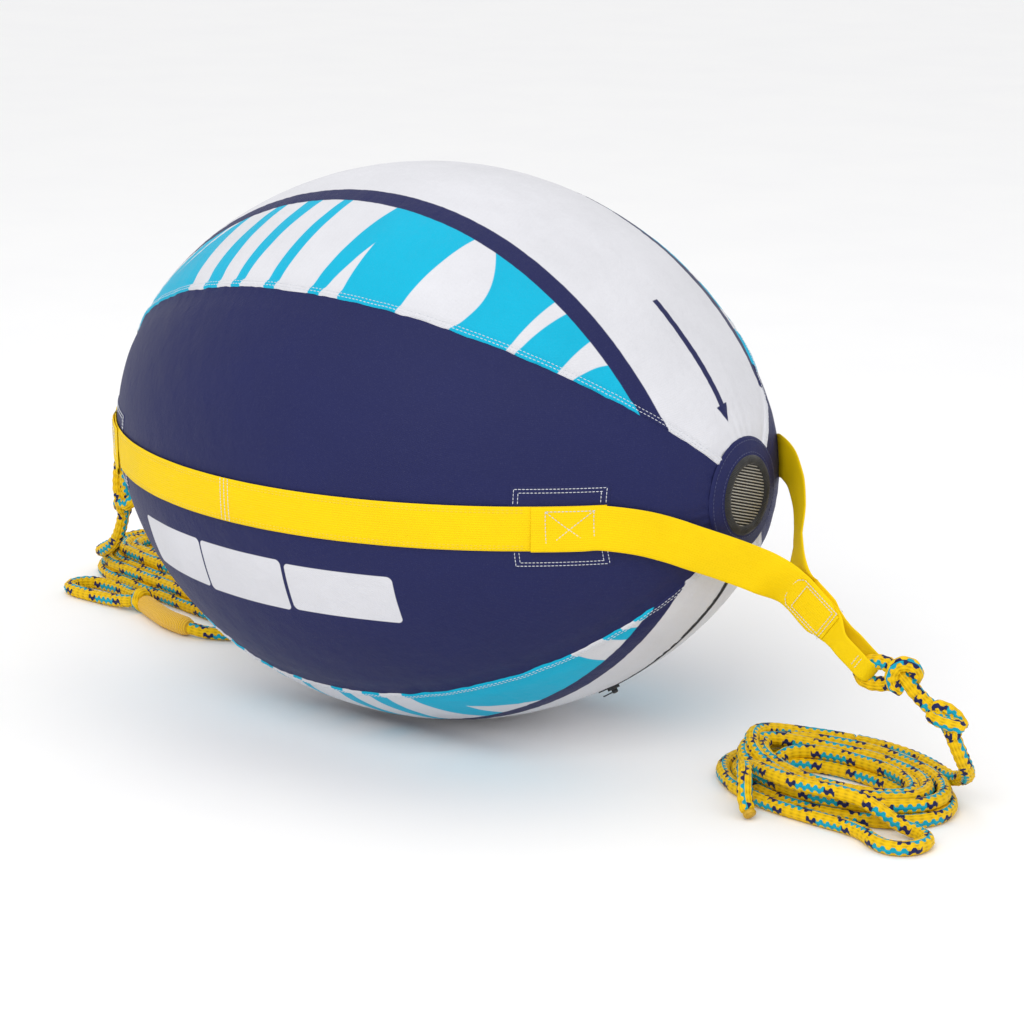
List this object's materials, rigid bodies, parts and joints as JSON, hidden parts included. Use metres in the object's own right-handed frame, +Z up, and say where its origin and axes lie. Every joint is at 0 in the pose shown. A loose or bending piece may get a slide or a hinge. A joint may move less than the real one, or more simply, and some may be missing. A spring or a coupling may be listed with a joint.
{
  "type": "towable booster ball",
  "caption": "Inflatable booster ball for water towing: sewn fabric cover over a bladder, webbing harness with a tow loop at each pole, and tow ropes with spliced eyes.",
  "frame": {"origin": "middle of the flat under the belly on which the ball rests", "axes": "+X along the ball's axis to the front pole, +Z up, -Y to the near side, where the sewn strap carries the panels"},
  "size_m": [1.5029, 0.666, 0.6582],
  "materials": {
    "printed_cover": "woven coated polyester, printed",
    "navy_cover": "woven coated polyester, plain navy",
    "binding_tape": "ribbed black binding tape",
    "vent_mesh": "open polyester mesh",
    "bladder_film": "smooth vinyl film",
    "valve_plastic": "moulded",
    "valve_rubber": "matte",
    "zip_tape": "woven tape",
    "zip_coil": "nylon coil",
    "zip_metal": "black lacquer",
    "harness_webbing": "flat woven webbing",
    "tow_rope": "hollow braid with navy and light blue tracers"
  },
  "bodies": {
    "ball": {"bladder": "bladder_film", "cover_bottom": "printed_cover", "cover_side_far": "printed_cover", "cover_side_near": "printed_cover", "cover_top": "printed_cover", "front_end_patch": "navy_cover", "front_flex_web_far": "harness_webbing", "front_flex_web_near": "harness_webbing", "front_reinforcement_far": "navy_cover", "front_reinforcement_near": "navy_cover", "front_rope": "tow_rope", "front_rope_coil": "tow_rope", "front_rope_eye": "tow_rope", "front_rope_wrap": "tow_rope", "front_vent_binding": "binding_tape", "front_vent_mesh": "vent_mesh", "rear_end_patch": "navy_cover", "rear_flex_web_far": "harness_webbing", "rear_flex_web_near": "harness_webbing", "rear_reinforcement_far": "navy_cover", "rear_reinforcement_near": "navy_cover", "rear_rope": "tow_rope", "rear_rope_coil": "tow_rope", "rear_rope_eye": "tow_rope", "rear_rope_half_hitch": "tow_rope", "rear_rope_splice": "tow_rope", "rear_rope_tail": "tow_rope", "rear_vent_binding": "binding_tape", "rear_vent_mesh": "vent_mesh", "side_strap_far": "harness_webbing", "side_strap_near": "harness_webbing", "valve_base": "valve_plastic", "zip_coil": "zip_coil", "zip_stops": "zip_coil", "zip_tape": "zip_tape"},
    "front_bridle": {"front_bridle_near": "harness_webbing", "front_bridle_far": "harness_webbing", "front_tow_loop": "harness_webbing", "front_rope_hitch": "tow_rope", "front_rope_knot": "tow_rope"},
    "rear_bridle": {"rear_bridle_near": "harness_webbing", "rear_bridle_far": "harness_webbing", "rear_tow_loop": "harness_webbing", "rear_rope_hitch": "tow_rope", "rear_rope_knot": "tow_rope"},
    "zip_slider": {"zip_slider": "zip_metal"},
    "zip_pull": {"zip_pull": "zip_metal"},
    "valve_cap": {"valve_cap": "valve_plastic"},
    "valve_flap": {"valve_flap": "valve_rubber"}
  },
  "joints": [
    {"name": "front_bridle_swing", "type": "hinge", "parent": "ball", "child": "front_bridle", "pos_m": [0.374, 0, 0.3162], "axis": [0, -1, 0], "range_deg": [0, 30], "deforming": ["front_flex_web_near", "front_flex_web_far", "front_rope"]},
    {"name": "rear_bridle_swing", "type": "hinge", "parent": "ball", "child": "rear_bridle", "pos_m": [-0.374, 0, 0.3162], "axis": [0, 1, 0], "range_deg": [0, 30], "deforming": ["rear_flex_web_near", "rear_flex_web_far", "rear_rope"]},
    {"name": "zip_slide", "type": "hinge", "parent": "ball", "child": "zip_slider", "pos_m": [0, 0, 0.4932], "axis": [0, -1, 0], "range_deg": [0, 20.4]},
    {"name": "zip_pull_flip", "type": "hinge", "parent": "zip_slider", "child": "zip_pull", "pos_m": [0.26175, 0, 0.06461], "axis": [0, 1, 0], "range_deg": [-158, 2]},
    {"name": "valve_cap_turn", "type": "hinge", "parent": "ball", "child": "valve_cap", "pos_m": [0.29364, 0, 0.10782], "axis": [0.6061, 0, -0.7954], "range_deg": [0, 90]},
    {"name": "valve_flap_open", "type": "hinge", "parent": "ball", "child": "valve_flap", "pos_m": [0.26789, 0, 0.1185], "axis": [0, -1, 0], "range_deg": [0, 55], "stiffness_Nm_per_rad": 0.002, "springref_deg": -11.46}
  ]
}
